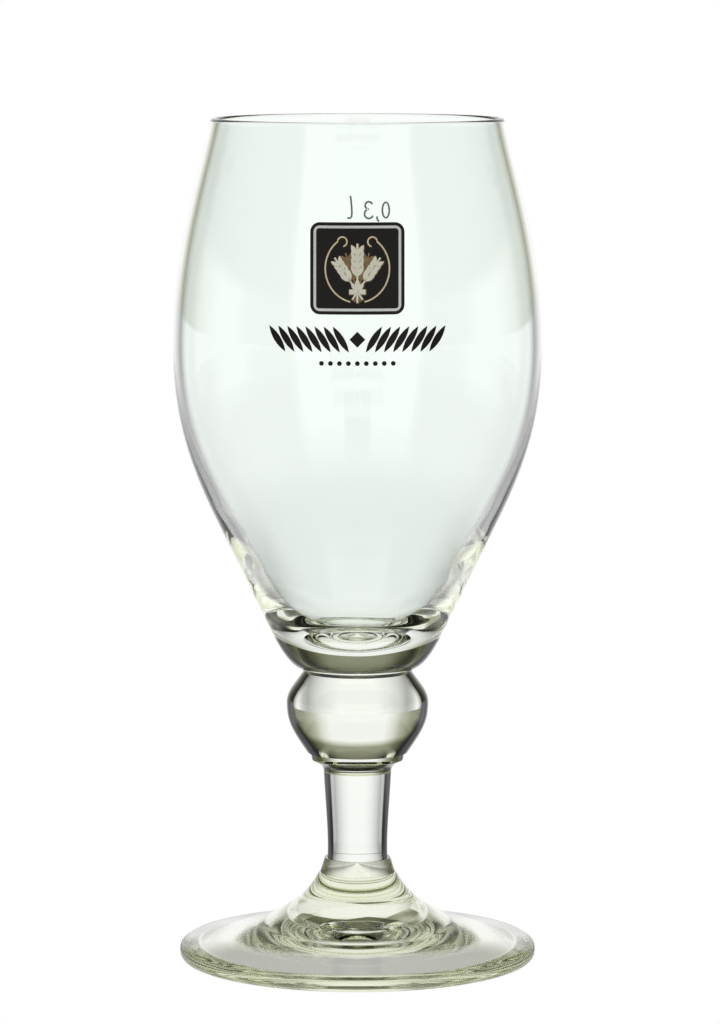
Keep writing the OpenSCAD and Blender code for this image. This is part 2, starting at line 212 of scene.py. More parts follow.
class Tree:
    """A Geometry Nodes tree in the making, with its named inputs."""

    def __init__(self, name, **inputs):
        self.tree = bpy.data.node_groups.new(name, "GeometryNodeTree")
        face = self.tree.interface
        face.new_socket("Geometry", in_out="OUTPUT", socket_type="NodeSocketGeometry")
        for label, kind in {"Geometry": "Geometry", **inputs}.items():
            face.new_socket(label.replace("_", " "), in_out="INPUT", socket_type="NodeSocket" + kind)
        self.given = self.tree.nodes.new("NodeGroupInput")

    def take(self, label):
        return self.given.outputs[label]

    def node(self, kind, *values, out=0, **settings):
        """Adds a node. Its inputs are filled in order, and None leaves one as it is."""
        made = self.tree.nodes.new(kind)
        for name, value in settings.items():
            setattr(made, name, value)
        sockets = [s for s in made.inputs if s.enabled and not s.is_unavailable]
        for socket, value in zip(sockets, values):
            if isinstance(value, bpy.types.NodeSocket):
                self.tree.links.new(value, socket)
            elif value is not None:
                socket.default_value = value
        made_outputs = [s for s in made.outputs if s.enabled and not s.is_unavailable]
        return made_outputs[out]

    def math(self, operation, *values):
        return self.node("ShaderNodeMath", *values, operation=operation)

    def whole(self, operation, *values):
        return self.node("FunctionNodeIntegerMath", *values, operation=operation)

    def thing(self, object_socket):
        """The geometry of the object on a socket."""
        info = self.tree.nodes.new("GeometryNodeObjectInfo")
        self.tree.links.new(object_socket, info.inputs[0])
        return info.outputs["Geometry"]

    def join(self, *parts):
        joined = self.tree.nodes.new("GeometryNodeJoinGeometry")
        for part in parts:
            self.tree.links.new(part, joined.inputs[0])
        return joined.outputs[0]

    def end(self, geometry):
        last = self.tree.nodes.new("NodeGroupOutput")
        self.tree.links.new(self.node("GeometryNodeRealizeInstances", geometry), last.inputs[0])
        return self.tree


def lathe_tree():
    """Turns an outline round the Z axis, and marks the faces inside a fused joint and in the cavity."""
    t = Tree("turned on a lathe", Facets="Int", Crease="Float", Glass="Material")
    outline, facets = t.take("Geometry"), t.take("Facets")
    count = t.node("GeometryNodeAttributeDomainSize", outline)
    grid = t.node("GeometryNodeMeshGrid", 1.0, 1.0, t.whole("ADD", facets, 1), count)
    index = t.node("GeometryNodeInputIndex")
    row = t.whole("MODULO", index, count)
    angle = t.math("MULTIPLY", t.math("DIVIDE", t.whole("DIVIDE_FLOOR", index, count), facets), math.tau)
    place = t.node("GeometryNodeSampleIndex", outline, t.node("GeometryNodeInputPosition"), row,
                   data_type="FLOAT_VECTOR")
    apart = t.tree.nodes.new("ShaderNodeSeparateXYZ")
    t.tree.links.new(place, apart.inputs[0])
    point = t.node("ShaderNodeCombineXYZ", t.math("MULTIPLY", apart.outputs[0], t.math("COSINE", angle)),
                   t.math("MULTIPLY", apart.outputs[0], t.math("SINE", angle)), apart.outputs[2])
    marked = grid
    for mark in ("fused", "inside"):
        given = t.node("GeometryNodeInputNamedAttribute", mark)
        marked = t.node("GeometryNodeStoreNamedAttribute", marked, None, mark,
                        t.node("GeometryNodeSampleIndex", outline, given, row))
        whole_face = t.node("FunctionNodeCompare", given, 0.99, operation="GREATER_THAN")
        marked = t.node("GeometryNodeStoreNamedAttribute", marked, None, mark, whole_face, domain="FACE")
    turned = t.node("GeometryNodeSetPosition", marked, None, point)
    joined = t.node("GeometryNodeMergeByDistance", turned, None, 1e-6)
    smooth = t.node("GeometryNodeSetShadeSmooth", joined, None, True)
    creased = t.node("FunctionNodeCompare", t.node("GeometryNodeInputMeshEdgeAngle"), t.take("Crease"),
                     operation="GREATER_THAN")
    sharp = t.node("GeometryNodeSetShadeSmooth", smooth, creased, False, domain="EDGE")
    return t.end(t.node("GeometryNodeSetMaterial", sharp, None, t.take("Glass")))


def coat_tree():
    """Lays flat art on the bowl as a thin closed coat. Facing is -1 at the front and 1 at the back."""
    t = Tree("coat on the bowl", Bowl="Object", Facing="Float", Gap="Float", Thickness="Float", Enamel="Material")
    art = t.take("Geometry")
    up = t.node("ShaderNodeCombineXYZ", 0.0, 0.0, t.take("Thickness"))
    raised = t.node("GeometryNodeExtrudeMesh", art, None, up, 1.0, False, mode="FACES")
    under = t.node("GeometryNodeFlipFaces", art)
    closed = t.node("GeometryNodeMergeByDistance", t.join(raised, under), None, 1e-6)
    apart = t.tree.nodes.new("ShaderNodeSeparateXYZ")
    t.tree.links.new(t.node("GeometryNodeInputPosition"), apart.inputs[0])
    across = t.math("MULTIPLY", t.math("MULTIPLY", apart.outputs[0], t.take("Facing")), -1.0)
    start = t.node("ShaderNodeCombineXYZ", across, t.math("MULTIPLY", t.take("Facing"), 0.1), apart.outputs[1])
    inwards = t.node("ShaderNodeCombineXYZ", 0.0, t.math("MULTIPLY", t.take("Facing"), -1.0), 0.0)
    hit = t.tree.nodes.new("GeometryNodeRaycast")
    for value, label in ((t.thing(t.take("Bowl")), "Target Geometry"), (start, "Source Position"),
                         (inwards, "Ray Direction")):
        t.tree.links.new(value, hit.inputs[label])
    hit.inputs["Ray Length"].default_value = 1.0
    off = t.node("ShaderNodeVectorMath", hit.outputs["Hit Normal"],
                 t.math("ADD", apart.outputs[2], t.take("Gap")), operation="SCALE")
    placed = t.node("GeometryNodeSetPosition", closed, None,
                    t.node("ShaderNodeVectorMath", hit.outputs["Hit Position"], off, operation="ADD"))
    smooth = t.node("GeometryNodeSetShadeSmooth", placed, None, True)
    steep = t.node("FunctionNodeCompare", t.node("GeometryNodeInputMeshEdgeAngle"), math.radians(40),
                   operation="GREATER_THAN")
    sharp = t.node("GeometryNodeSetShadeSmooth", smooth, steep, False, domain="EDGE")
    return t.end(t.node("GeometryNodeSetMaterial", sharp, None, t.take("Enamel")))


def ear_tree():
    """An ear of barley on the stalk that comes in: pairs of grains up both sides, and one at the tip."""
    t = Tree("ear of barley", Grain="Object", Low="Float", High="Float", Pairs="Int", Lean="Float")
    grain = t.thing(t.take("Grain"))
    rise = t.math("DIVIDE", t.math("SUBTRACT", t.take("High"), t.take("Low")), t.take("Pairs"))
    parts = [t.take("Geometry")]
    for side in (-1.0, 1.0):
        first = t.node("ShaderNodeCombineXYZ", 0.03 * MM * side, t.take("Low"), 0.0)
        line = t.node("GeometryNodeMeshLine", t.take("Pairs"), first, t.node("ShaderNodeCombineXYZ", 0.0, rise, 0.0))
        turn = t.node("ShaderNodeCombineXYZ", 0.0, 0.0, t.math("MULTIPLY", t.take("Lean"), -side))
        parts.append(t.node("GeometryNodeInstanceOnPoints", line, None, grain, None, None, turn))
    tip = t.node("ShaderNodeCombineXYZ", 0.0, t.take("High"), 0.0)
    parts.append(t.node("GeometryNodeTransform", grain, None, tip))
    return t.end(t.join(*parts))


def sheaf_tree():
    """Ears fanned out from one tie. An ear is the shorter, the further it leans."""
    t = Tree("sheaf", Ear="Object", Ears="Int", Spread="Float", Droop="Float")
    points = t.node("GeometryNodeMeshLine", t.take("Ears"), (0, 0, 0), (0, 0, 0))
    place = t.math("SUBTRACT", t.node("GeometryNodeInputIndex"),
                   t.math("MULTIPLY", t.math("SUBTRACT", t.take("Ears"), 1.0), 0.5))
    turn = t.node("ShaderNodeCombineXYZ", 0.0, 0.0, t.math("MULTIPLY", place, t.take("Spread")))
    size = t.math("SUBTRACT", 1.0, t.math("MULTIPLY", t.math("MULTIPLY", place, place), t.take("Droop")))
    ears = t.node("GeometryNodeInstanceOnPoints", points, None, t.thing(t.take("Ear")), None, None, turn, size)
    return t.end(t.join(t.take("Geometry"), ears))


def band_tree():
    """Grains that lean away from the middle on both sides of what comes in."""
    t = Tree("band of grains", Grain="Object", Grains_a_side="Int", First="Float", Reach="Float", Lean="Float")
    count = t.take("Grains a side")
    gap = t.math("DIVIDE", t.math("SUBTRACT", t.take("Reach"), t.take("First")), t.math("SUBTRACT", count, 1.0))
    parts = [t.take("Geometry")]
    for side in (-1.0, 1.0):
        start = t.node("ShaderNodeCombineXYZ", t.math("MULTIPLY", t.take("First"), side), 0.0, 0.0)
        step = t.node("ShaderNodeCombineXYZ", t.math("MULTIPLY", gap, side), 0.0, 0.0)
        line = t.node("GeometryNodeMeshLine", count, start, step)
        turn = t.node("ShaderNodeCombineXYZ", 0.0, 0.0, t.math("MULTIPLY", t.take("Lean"), -side))
        parts.append(t.node("GeometryNodeInstanceOnPoints", line, None, t.thing(t.take("Grain")), None, None, turn))
    return t.end(t.join(*parts))


def dots_tree():
    t = Tree("row of dots", Dot="Object", Dots="Int", Width="Float")
    start = t.node("ShaderNodeCombineXYZ", t.math("MULTIPLY", t.take("Width"), -0.5), 0.0, 0.0)
    step = t.node("ShaderNodeCombineXYZ", t.math("DIVIDE", t.take("Width"), t.math("SUBTRACT", t.take("Dots"), 1.0)),
                  0.0, 0.0)
    line = t.node("GeometryNodeMeshLine", t.take("Dots"), start, step)
    return t.end(t.node("GeometryNodeInstanceOnPoints", line, None, t.thing(t.take("Dot"))))


def run_tree(obj, tree, **inputs):
    """Gives obj the tree with its inputs set, and leaves a plain mesh in place of the modifier."""
    modifier = obj.modifiers.new(tree.name, "NODES")
    modifier.node_group = tree
    sockets = {s.name: s.identifier for s in tree.interface.items_tree if s.in_out == "INPUT"}
    for label, value in inputs.items():
        modifier[sockets[label]] = value
    seen = obj.evaluated_get(bpy.context.evaluated_depsgraph_get())
    mesh = bpy.data.meshes.new_from_object(seen)
    mesh.name = obj.name
    finishes = [m for m in mesh.materials if m]
    slots = [finishes.index(mesh.materials[face.material_index]) for face in mesh.polygons if finishes]
    mesh.materials.clear()
    for material in finishes:
        mesh.materials.append(material)
    if slots:
        mesh.polygons.foreach_set("material_index", slots)
    obj.modifiers.clear()
    obj.data = mesh
    return obj


def new_object(name, points, edges=(), faces=(), **attributes):
    mesh = bpy.data.meshes.new(name)
    mesh.from_pydata([tuple(p) for p in points], list(edges), list(faces))
    for label, values in attributes.items():
        vector = hasattr(values[0], "__len__")
        data = mesh.attributes.new(label, "FLOAT_VECTOR" if vector else "FLOAT", "POINT").data
        data.foreach_set("vector" if vector else "value", [x for v in values for x in v] if vector else values)
    obj = bpy.data.objects.new(name, mesh)
    bpy.context.scene.collection.objects.link(obj)
    return obj


# Materials

class Wires:
    """Shader nodes of a material or of the world, in the making."""

    def __init__(self, tree):
        self.nodes, self.links = tree.nodes, tree.links

    def add(self, kind, settings=None, **values):
        node = self.nodes.new(kind)
        for name, value in (settings or {}).items():
            setattr(node, name, value)
        for label, value in values.items():
            self.put(value, node.inputs[label.replace("_", " ")])
        return node

    def put(self, value, socket):
        if isinstance(value, bpy.types.NodeSocket):
            self.links.new(value, socket)
        else:
            socket.default_value = value

    def math(self, operation, *values):
        node = self.add("ShaderNodeMath", {"operation": operation})
        for value, socket in zip(values, node.inputs):
            self.put(value, socket)
        return node.outputs[0]

    def levels(self, value, stops):
        """Grey levels along a value from 0 to 1."""
        ramp = self.add("ShaderNodeValToRGB", Fac=value)
        elements = ramp.color_ramp.elements
        while len(elements) < len(stops):
            elements.new(0.5)
        for element, (place, level) in zip(elements, stops):
            element.position = place
            element.color = (level, level, level, 1)
        return ramp.outputs[0]

    def around(self, x, y, stops):
        """Grey levels by the angle from behind the glass, in degrees."""
        turn = self.math("DIVIDE", self.math("ABSOLUTE", self.math("ARCTAN2", x, y)), math.pi)
        return self.levels(turn, [(deg / 180, level) for deg, level in stops])


class Finish(Wires):
    """A material in the making."""

    def __init__(self, name, **shader_values):
        self.material = bpy.data.materials.new(name)
        self.material.use_nodes = True
        super().__init__(self.material.node_tree)
        self.shader = self.nodes["Principled BSDF"]
        for label, value in shader_values.items():
            self.shader.inputs[label.replace("_", " ")].default_value = value

    def noise(self, scale, detail=2.0, stretch=(1, 1, 1)):
        """Noise on object coordinates, in cycles per metre, stretched along each axis."""
        place = self.add("ShaderNodeTexCoord")
        mapping = self.add("ShaderNodeMapping", Vector=place.outputs["Object"], Scale=stretch)
        return self.add("ShaderNodeTexNoise", Vector=mapping.outputs[0], Scale=scale, Detail=detail)

    def bump(self, height, distance, strength=1.0):
        bump = self.add("ShaderNodeBump", Height=height, Distance=distance, Strength=strength)
        self.put(bump.outputs[0], self.shader.inputs["Normal"])


def clear_glass(name, tint, body, density, outline=None, inside_painted_edge_shade=None, roughness=0.0, facets=False,
                waves=False):
    """Glass with a tint at its surface and a body colour that deepens with the light's way through it.

    An outline is painted edge shade: a dark colour that the tint turns to where the surface turns away, darkening the
    edges more than refraction does, and between which values of facing it does so. inside_painted_edge_shade is the
    same painted shade on the cavity only. Inside a fused joint nothing of the surface is left.
    """
    glass = Finish(name, Base_Color=(*tint, 1), Transmission_Weight=1.0, IOR=1.5, Roughness=roughness)
    colour = None
    # Painted edge shade: the tint turns dark where the surface turns away from view.
    for turned in (outline, inside_painted_edge_shade):
        if turned:
            painted_shade_tint, start, end = turned
            away = glass.add("ShaderNodeLayerWeight", Blend=0.5)
            turn = glass.add("ShaderNodeMapRange", {"interpolation_type": "SMOOTHSTEP"}, Value=away.outputs["Facing"],
                             From_Min=start, From_Max=end)
            share = turn.outputs[0]
            if turned is inside_painted_edge_shade:
                inside = glass.add("ShaderNodeAttribute", {"attribute_name": "inside"})
                share = glass.add("ShaderNodeMath", {"operation": "MULTIPLY"}).outputs[0]
                glass.put(turn.outputs[0], share.node.inputs[0])
                glass.put(inside.outputs["Fac"], share.node.inputs[1])
            mix = glass.add("ShaderNodeMix", {"data_type": "RGBA"})
            glass.put(share, mix.inputs["Factor"])
            glass.put(colour or (*tint, 1), mix.inputs[6])
            glass.put((*painted_shade_tint, 1), mix.inputs[7])
            colour = mix.outputs[2]
    if colour:
        glass.put(colour, glass.shader.inputs["Base Color"])
    fused = glass.add("ShaderNodeAttribute", {"attribute_name": "fused"})
    there = glass.add("ShaderNodeMath", {"operation": "SUBTRACT"})
    glass.put(1.0, there.inputs[0])
    glass.put(fused.outputs["Fac"], there.inputs[1])
    glass.put(there.outputs[0], glass.shader.inputs["Alpha"])
    depth = glass.add("ShaderNodeVolumeAbsorption", Color=(*body, 1), Density=density)
    glass.put(depth.outputs[0], glass.nodes["Material Output"].inputs["Volume"])
    place = glass.add("ShaderNodeTexCoord").outputs["Object"]
    if waves:
        low = glass.add("ShaderNodeMapRange", {"interpolation_type": "SMOOTHSTEP"},
                        Value=glass.add("ShaderNodeSeparateXYZ", Vector=place).outputs[2],
                        From_Min=WAVES_TOP * MM, From_Max=(WAVES_TOP - WAVES_FADE) * MM)
        height = glass.math("MULTIPLY", glass.noise(WAVES_PER_M, 1.0, (1, 1, 1.8)).outputs["Fac"], low.outputs[0])
        glass.bump(height, WAVES_DEEP * MM)
    if facets:
        flat = glass.add("ShaderNodeVectorMath", {"operation": "MULTIPLY"})
        glass.put(place, flat.inputs[0])
        flat.inputs[1].default_value = (1, 1, 0)
        out = glass.add("ShaderNodeVectorMath", {"operation": "LENGTH"})
        glass.put(flat.outputs[0], out.inputs[0])
        middle = glass.add("ShaderNodeMapRange", {"interpolation_type": "SMOOTHSTEP"}, Value=out.outputs["Value"],
                           From_Min=FACETS_R * MM, From_Max=0.8 * FACETS_R * MM)
        low = glass.add("ShaderNodeMapRange", Value=glass.add("ShaderNodeSeparateXYZ", Vector=place).outputs[2],
                        From_Min=0.5 * FOOT_H * MM, From_Max=0.45 * FOOT_H * MM)
        cells = glass.add("ShaderNodeTexVoronoi", Vector=flat.outputs[0], Scale=FACETS_PER_M)
        height = glass.math("MULTIPLY", cells.outputs["Distance"],
                            glass.math("MULTIPLY", middle.outputs[0], low.outputs[0]))
        glass.bump(height, FACETS_DEEP * MM)
    return glass.material


def enamel(name, colour, second, roughness, metallic=0.0, mirror=0.5):
    """Fired enamel: slightly uneven in colour and gloss, with a fine orange peel."""
    coat = Finish(name, Metallic=metallic, Specular_IOR_Level=mirror)
    cloud = coat.noise(900, 3.0)
    mix = coat.add("ShaderNodeMix", {"data_type": "RGBA"})
    coat.put(cloud.outputs["Fac"], mix.inputs["Factor"])
    coat.put((*colour, 1), mix.inputs[6])
    coat.put((*second, 1), mix.inputs[7])
    coat.put(mix.outputs[2], coat.shader.inputs["Base Color"])
    gloss = coat.add("ShaderNodeMapRange", Value=cloud.outputs["Fac"])
    gloss.inputs["To Min"].default_value = roughness - 0.06
    gloss.inputs["To Max"].default_value = roughness + 0.08
    coat.put(gloss.outputs[0], coat.shader.inputs["Roughness"])
    peel = coat.noise(2500, 2.0)
    coat.bump(peel.outputs["Fac"], 0.01 * MM, 0.6)
    return coat.material


BODY_COLOUR, BODY_DENSITY = (0.88, 0.90, 0.72), 9.0
# The dark outline colours below are painted edge shade: on the bowl's cavity, the stem, the collars and the knop.
BOWL_GLASS = clear_glass("bowl_glass", (0.964, 1.0, 0.98), BODY_COLOUR, BODY_DENSITY,
                         inside_painted_edge_shade=((0.05, 0.06, 0.06), 0.72, 0.98), waves=True)
STEM_GLASS = clear_glass("stem_glass", (0.97, 1.0, 0.975), BODY_COLOUR, BODY_DENSITY, ((0.0, 0.0, 0.0), 0.36, 0.44))
COLLAR_GLASS = clear_glass("collar_glass", (0.95, 0.97, 0.92), BODY_COLOUR, BODY_DENSITY, ((0.1, 0.09, 0.05), 0.1, 0.5))
KNOP_GLASS = clear_glass("knop_glass", (0.97, 1.0, 0.975), BODY_COLOUR, BODY_DENSITY, ((0.0, 0.0, 0.0), 0.45, 0.58))
# The pressed foot is a little less smooth than the blown glass.
FOOT_GLASS = clear_glass("foot_glass", (0.965, 0.985, 0.94), BODY_COLOUR, 1.8 * BODY_DENSITY, roughness=0.05,
                         facets=True)
DARK_ENAMEL = enamel("dark_enamel", (0.004, 0.0035, 0.0035), (0.012, 0.010, 0.010), 0.3, mirror=0.15)
SILVER_ENAMEL = enamel("silver_enamel", (0.55, 0.57, 0.57), (0.7, 0.72, 0.72), 0.35, 0.3)
CREAM_ENAMEL = enamel("cream_enamel", (0.66, 0.65, 0.54), (0.82, 0.80, 0.68), 0.35)
BRONZE_ENAMEL = enamel("bronze_enamel", (0.12, 0.07, 0.03), (0.3, 0.2, 0.09), 0.35, 0.4)
GOLD_ENAMEL = enamel("gold_enamel", (0.42, 0.33, 0.2), (0.7, 0.6, 0.42), 0.3, 0.5)


# Glass pieces

def turned_glass(node, outline, levels, glass, cavity=()):
    """A turned piece that stands for its CAD node. levels are the heights of its fused seams."""
    seams = {FOOT_H: FOOT_COLLAR_LOW_D, STEM_Z: STEM_LOW_D, STEM_COLLAR_Z: STEM_TOP_D,
             KNOP_Z: STEM_COLLAR_D, BOWL_Z: WAIST_D}
    fused = [1.0 if any(abs(p.y - z) < 1e-4 and p.x < seams[z] / 2 + 1e-4 for z in levels) else 0.0
             for p in outline]
    points = [(p.x * MM, 0, p.y * MM) for p in outline]
    edges = [(i, i + 1) for i in range(len(points) - 1)]
    inside = [1.0 if i in cavity else 0.0 for i in range(len(outline))]
    obj = new_object(node + "_glass", points, edges, fused=fused, inside=inside)
    obj.data.materials.append(glass)
    run_tree(obj, LATHE, Facets=LATHE_FACETS, Crease=math.radians(28), Glass=glass)
    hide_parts(node)
    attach(obj, "root")
    return obj


LATHE, COAT = lathe_tree(), coat_tree()

turned_glass("foot", foot_outline(), [FOOT_H], FOOT_GLASS)
turned_glass("foot_collar", foot_collar_outline(), [FOOT_H, STEM_Z], COLLAR_GLASS)
turned_glass("stem", stem_outline(), [STEM_Z, STEM_COLLAR_Z], STEM_GLASS)
turned_glass("stem_collar", stem_collar_outline(), [STEM_COLLAR_Z, KNOP_Z], COLLAR_GLASS)
turned_glass("knop", knop_outline(), [KNOP_Z, BOWL_Z], KNOP_GLASS)
BOWL_OUTLINE, CAVITY = bowl_outline()
BOWL = turned_glass("bowl", BOWL_OUTLINE, [BOWL_Z], BOWL_GLASS, CAVITY)


# Flat art for the prints, in metres on the XY plane

def in_art(point, loops):
    """Whether a point is inside an odd number of loops, so a loop in another one is a hole."""
    inside = False
    for loop in loops:
        for i, (x, y) in enumerate(loop):
            next_x, next_y = loop[(i + 1) % len(loop)]
            if (y > point.y) != (next_y > point.y) and point.x < x + (point.y - y) * (next_x - x) / (next_y - y):
                inside = not inside
    return inside


def filled(name, loops, spacing=0.45):
    """A flat mesh of the area inside the loops, with inner points close enough to bend round the bowl."""
    points, edges = [], []
    for loop in loops:
        side_points = []
        for i, p in enumerate(loop):
            here, there = Vector(p), Vector(loop[(i + 1) % len(loop)])
            side_points += straight(here, there, max(1, math.ceil((there - here).length / spacing)))
        start = len(points)
        points += side_points
        edges += [(start + i, start + (i + 1) % len(side_points)) for i in range(len(side_points))]
    low = Vector((min(p.x for p in points), min(p.y for p in points)))
    high = Vector((max(p.x for p in points), max(p.y for p in points)))
    for i in range(1, int((high.x - low.x) / spacing)):
        for j in range(1, int((high.y - low.y) / spacing)):
            points.append(low + Vector((i * spacing, j * spacing)))
    verts, _, faces, *_ = delaunay_2d_cdt(points, edges, [], 1, 1e-5)
    faces = [f for f in faces if in_art(sum((verts[i] for i in f), Vector((0, 0))) / len(f), loops)]
    return new_object(name, [(v.x * MM, v.y * MM, 0) for v in verts], (), faces)


def rounded_loop(w, tall, r, z=0.0, steps=8):
    loop = []
    for quarter, (sx, sy) in enumerate(((1, 1), (-1, 1), (-1, -1), (1, -1))):
        for i in range(steps + 1):
            a = math.pi / 2 * (quarter + i / steps)
            loop.append((sx * (w / 2 - r) + r * math.cos(a), sy * (tall / 2 - r) + r * math.sin(a) + z))
    return loop


def part_pinches(flat, step=0.004):
    """Gives faces that meet others in a single point a point of their own there, drawn in by a small step."""
    clean = bmesh.new()
    clean.from_mesh(flat)
    bmesh.ops.remove_doubles(clean, verts=clean.verts, dist=step / 2 * MM)
    clean.to_mesh(flat)
    clean.free()
    verts = [v.co.copy() for v in flat.vertices]
    faces = [list(face.vertices) for face in flat.polygons]
    near = {}
    for face in faces:
        for i, v in enumerate(face):
            near.setdefault(v, []).append((face, {face[i - 1], face[(i + 1) % len(face)]}))
    for v, corners in near.items():
        groups = []
        for face, ends in corners:
            joined = [group for group in groups if group[0] & ends]
            groups = [group for group in groups if not group[0] & ends]
            groups.append((ends.union(*(group[0] for group in joined)),
                           [face] + [other for group in joined for other in group[1]]))
        for ends, members in groups if len(groups) > 1 else ():
            inner = sum((flat.vertices[i].co for i in sorted(ends)), Vector()) / len(ends)
            verts.append(verts[v] + (inner - verts[v]).normalized() * step * MM)
            for face in members:
                face[face.index(v)] = len(verts) - 1
    flat.clear_geometry()
    flat.from_pydata(verts, [], faces)


def print_on_bowl(obj, enamel_material, node=None, facing=-1, gap=-0.01, thickness=0.045):
    part_pinches(obj.data)
    obj.data.materials.append(enamel_material)
    run_tree(obj, COAT, Bowl=BOWL, Facing=float(facing), Gap=gap * MM, Thickness=thickness * MM,
             Enamel=enamel_material)
    if node:
        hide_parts(node)
    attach(obj, "root")


def stroke(points, width):
    """The outline of a pen stroke of even width with round ends, along points."""
    points = [Vector(p) for p in points]
    left, right = [], []
    for i, p in enumerate(points):
        way = (points[min(i + 1, len(points) - 1)] - points[max(i - 1, 0)]).normalized()
        side = Vector((-way.y, way.x)) * width / 2
        left.append(p + side)
        right.append(p - side)
    def cap(middle, way):
        side = Vector((-way.y, way.x))
        return [middle + (way * math.sin(a) + side * math.cos(a)) * width / 2
                for a in (math.pi * k / 6 for k in range(1, 6))]
    end = cap(points[-1], (points[-1] - points[-2]).normalized())
    start = cap(points[0], (points[0] - points[1]).normalized())
    return left + end + right[::-1] + start


def arc(x, y, rx, ry, from_deg, to_deg, steps=20):
    return [(x + rx * math.cos(math.radians(from_deg + (to_deg - from_deg) * i / steps)),
             y + ry * math.sin(math.radians(from_deg + (to_deg - from_deg) * i / steps))) for i in range(steps + 1)]


def lens(l, w, z=0.0, steps=14):
    """A pointed grain of length l and width w, standing up from z: what two circles share."""
    r = (l * l + w * w) / (4 * w)
    half = math.asin(l / 2 / r)
    right = [(w / 2 - r + r * math.cos(a), z + l / 2 + r * math.sin(a))
             for a in (half * (2 * i / steps - 1) for i in range(steps + 1))]
    return right + [(-x, y) for x, y in right[-2:0:-1]]


def moved(obj, x, z):
    """Shifts flat art on its sheet, in millimetres."""
    for v in obj.data.vertices:
        v.co.x += x * MM
        v.co.y += z * MM
    return obj


def discard(*objects):
    for o in objects:
        bpy.data.objects.remove(o)


# Badge: a dark plate with a silver line, and a sheaf of barley in the middle

SHEAF_TALL = BADGE_TALL - 2 * (BORDER_INSET + BORDER_W + SHEAF_MARGIN)
EAR_SPREAD, EAR_DROOP = math.radians(34), 0.146
GRAIN_PAIRS, GRAIN_LEAN = 4, math.radians(27)
TIE_LEVEL, TIE_W, TIE_TALL = 0.16 * SHEAF_TALL, 0.24 * SHEAF_TALL, 0.07 * SHEAF_TALL
WREATH_W = 0.32


def sheaf_art(name, ears, tall, swell=0.0):
    """Flat ears on one tie, whose middle is the origin. Swell widens every form, for the line round it."""
    grain = filled("grain", [lens(0.2 * tall + 2 * swell, 0.075 * tall + 2 * swell, -swell)])
    half, foot, top = 0.014 * tall + swell, -TIE_LEVEL - swell, 0.9 * tall - TIE_LEVEL
    ear = filled("ear", [[(-half, foot), (half, foot), (half, top), (-half, top)]])
    run_tree(ear, EAR, Grain=grain, Low=(0.4 * tall - TIE_LEVEL) * MM, High=(0.8 * tall - TIE_LEVEL) * MM,
             Pairs=GRAIN_PAIRS, Lean=GRAIN_LEAN)
    half_w, half_tall = TIE_W / 2 + swell, TIE_TALL / 2 + swell
    sheaf = filled(name, [[(-half_w, -half_tall), (half_w, -half_tall), (half_w, half_tall), (-half_w, half_tall)]])
    run_tree(sheaf, SHEAF, Ear=ear, Ears=ears, Spread=EAR_SPREAD, Droop=EAR_DROOP)
    discard(grain, ear)
    return sheaf


def badge():
    ground = filled("badge_ground_print", [rounded_loop(BADGE_W, BADGE_TALL, BADGE_CORNER_R, BADGE_Z)])
    print_on_bowl(ground, DARK_ENAMEL, "badge_ground")
    w, tall = BADGE_W - 2 * BORDER_INSET, BADGE_TALL - 2 * BORDER_INSET
    inner_r = BADGE_CORNER_R - BORDER_INSET
    line = filled("badge_border_print", [rounded_loop(w, tall, inner_r, BADGE_Z),
                                         rounded_loop(w - 2 * BORDER_W, tall - 2 * BORDER_W, inner_r / 2, BADGE_Z)[::-1]])
    print_on_bowl(line, SILVER_ENAMEL, "badge_border", gap=0.03)
    tie_z = BADGE_Z - SHEAF_TALL / 2 + TIE_LEVEL
    wreath = []
    for side in (-1, 1):
        bough = arc(0, 0, 0.34 * BADGE_W, 0.37 * BADGE_TALL, -76, 52, 30)
        curl = arc(0.16 * BADGE_W, 0.29 * BADGE_TALL, 0.05 * BADGE_W, 0.05 * BADGE_W, 20, 250, 16)
        wreath += [[(side * x, z + BADGE_Z) for x, z in stroke(bough, WREATH_W)],
                   [(side * x, z + BADGE_Z) for x, z in stroke(curl, WREATH_W)]]
    print_on_bowl(filled("badge_wreath", wreath, 0.3), GOLD_ENAMEL, gap=0.03, thickness=0.015)
    behind = moved(sheaf_art("badge_ears_behind", 2, 0.86 * SHEAF_TALL), 0.02, tie_z)
    print_on_bowl(behind, BRONZE_ENAMEL, gap=0.03, thickness=0.015)
    shade = moved(sheaf_art("badge_sheaf_line", 3, 0.96 * SHEAF_TALL, 0.13), 0.06, tie_z - 0.05)
    print_on_bowl(shade, BRONZE_ENAMEL, gap=0.035, thickness=0.015)
    sheaf = moved(sheaf_art("badge_sheaf_print", 3, 0.96 * SHEAF_TALL), 0, tie_z)
    print_on_bowl(sheaf, CREAM_ENAMEL, "badge_sheaf", gap=0.045, thickness=0.03)


# Band of grains and row of dots under the badge

def ornament():
    lean = math.radians(32)
    grain_l, grain_w = BAND_TALL / math.cos(lean), 0.26 * BAND_TALL
    grain = filled("grain", [lens(grain_l, grain_w, -grain_l / 2)])
    half = 0.62 * BAND_TALL / 2
    band = filled("grain_band_print", [[(half, 0), (0, half), (-half, 0), (0, -half)]])
    reach = BAND_W / 2 - BAND_TALL * math.tan(lean) / 2 - grain_w / 2
    run_tree(band, BAND, Grain=grain, **{"Grains a side": 8}, First=0.09 * BAND_W * MM, Reach=reach * MM, Lean=lean)
    print_on_bowl(moved(band, 0, BAND_Z), DARK_ENAMEL, "grain_band")
    dot = filled("dot", [arc(0, 0, DOT_D / 2, DOT_D / 2, 0, 345, 23)], 0.3)
    row = new_object("dot_row_print", [(0, 0, 0)])
    run_tree(row, DOTS, Dot=dot, Dots=9, Width=(DOTS_W - DOT_D) * MM)
    print_on_bowl(moved(row, 0, DOTS_Z), DARK_ENAMEL, "dot_row")
    discard(grain, dot)


# Capacity mark on the back, which reads from behind the glass

